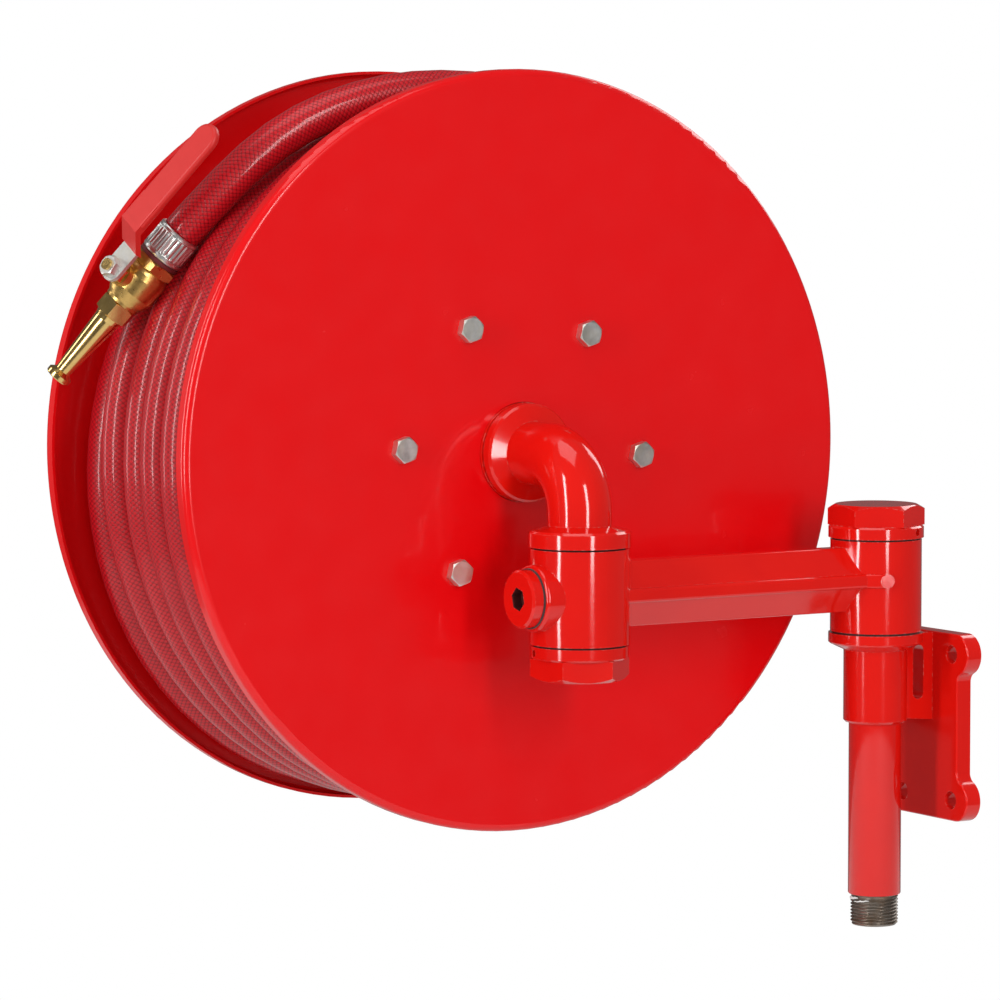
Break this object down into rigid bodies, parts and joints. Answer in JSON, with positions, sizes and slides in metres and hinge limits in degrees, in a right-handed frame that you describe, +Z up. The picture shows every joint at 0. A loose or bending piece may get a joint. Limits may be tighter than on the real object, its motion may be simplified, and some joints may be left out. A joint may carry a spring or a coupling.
{
  "type": "fire hose reel",
  "caption": "Wall-mounted swinging fire hose reel: bracket and riser, swing arm, elbow, spinning drum wound with rubber hose, and a lever-operated jet nozzle.",
  "frame": {"origin": "middle of the wall plate's four-hole pattern, on the face that bears on the wall", "axes": "+Z up, +Y into the wall, -Y into the room; at rest the swing arm reaches along -Y and the drum hangs on the -X side with its spin axis along X"},
  "size_m": [0.3299, 0.591, 0.5955],
  "materials": {
    "casting_red": "gloss",
    "disc_red": "gloss",
    "zinc_steel": "satin",
    "turned_steel": "satin",
    "bronze": "satin",
    "black_rubber": "matte",
    "white_plastic": "matte",
    "fibre_washer": "matte",
    "hose_red": "satin",
    "crimped_aluminium": "satin",
    "nozzle_brass": "gloss",
    "grip_red": "gloss"
  },
  "bodies": {
    "bracket": {"wall_bracket": "casting_red", "riser_stem": "casting_red", "riser_washers": "white_plastic", "riser_o_rings": "black_rubber", "riser_cap": "casting_red", "riser_grub_screw": "zinc_steel"},
    "arm": {"swing_arm": "casting_red", "riser_bushes": "bronze", "elbow_bushes": "bronze", "arm_plug": "casting_red", "arm_plug_washer": "fibre_washer"},
    "elbow": {"elbow_pipe": "casting_red", "elbow_spindle": "turned_steel", "elbow_washers": "white_plastic", "elbow_o_rings": "black_rubber", "elbow_cap": "casting_red", "elbow_grub_screw": "zinc_steel", "hub_spindle": "turned_steel", "hub_washers": "white_plastic", "hub_o_rings": "black_rubber", "hub_cap": "casting_red", "hub_grub_screw": "zinc_steel"},
    "drum": {"front_disc": "disc_red", "rear_disc": "disc_red", "drum_barrel": "disc_red", "hub": "casting_red", "hub_bushes": "bronze", "front_disc_bolts": "zinc_steel", "front_disc_nuts": "zinc_steel", "rear_disc_bolts": "zinc_steel", "rear_disc_nuts": "zinc_steel", "outlet_bend": "zinc_steel", "hose_tail": "nozzle_brass", "inner_hose_clamp": "zinc_steel", "hose_lead_in": "hose_red", "hose_coil": "hose_red", "hose_free_end": "hose_red", "hose_ferrule": "crimped_aluminium", "inlet_tail": "nozzle_brass", "inlet_washer": "fibre_washer", "valve_body": "nozzle_brass", "valve_seats": "white_plastic", "gland_nut": "nozzle_brass", "nozzle_tip": "nozzle_brass"},
    "valve_lever": {"valve_ball": "zinc_steel", "valve_stem": "nozzle_brass", "valve_lever_plate": "zinc_steel", "lever_grip": "grip_red", "stem_nut": "zinc_steel"}
  },
  "joints": [
    {"name": "arm_swing", "type": "hinge", "parent": "bracket", "child": "arm", "pos_m": [0, -0.057, 0.1055], "axis": [0, 0, 1], "range_deg": [-90, 90]},
    {"name": "drum_swivel", "type": "hinge", "parent": "arm", "child": "elbow", "pos_m": [0, -0.302, 0.1055], "axis": [0, 0, -1], "range_deg": [-180, 0]},
    {"name": "drum_spin", "type": "hinge", "parent": "elbow", "child": "drum", "pos_m": [-0.1, -0.302, 0.1975], "axis": [1, 0, 0], "continuous": true},
    {"name": "valve_turn", "type": "hinge", "parent": "drum", "child": "valve_lever", "pos_m": [-0.17692, -0.54073, 0.31369], "axis": [0.2872, -0.8626, 0.4165], "range_deg": [-90, 0]}
  ]
}
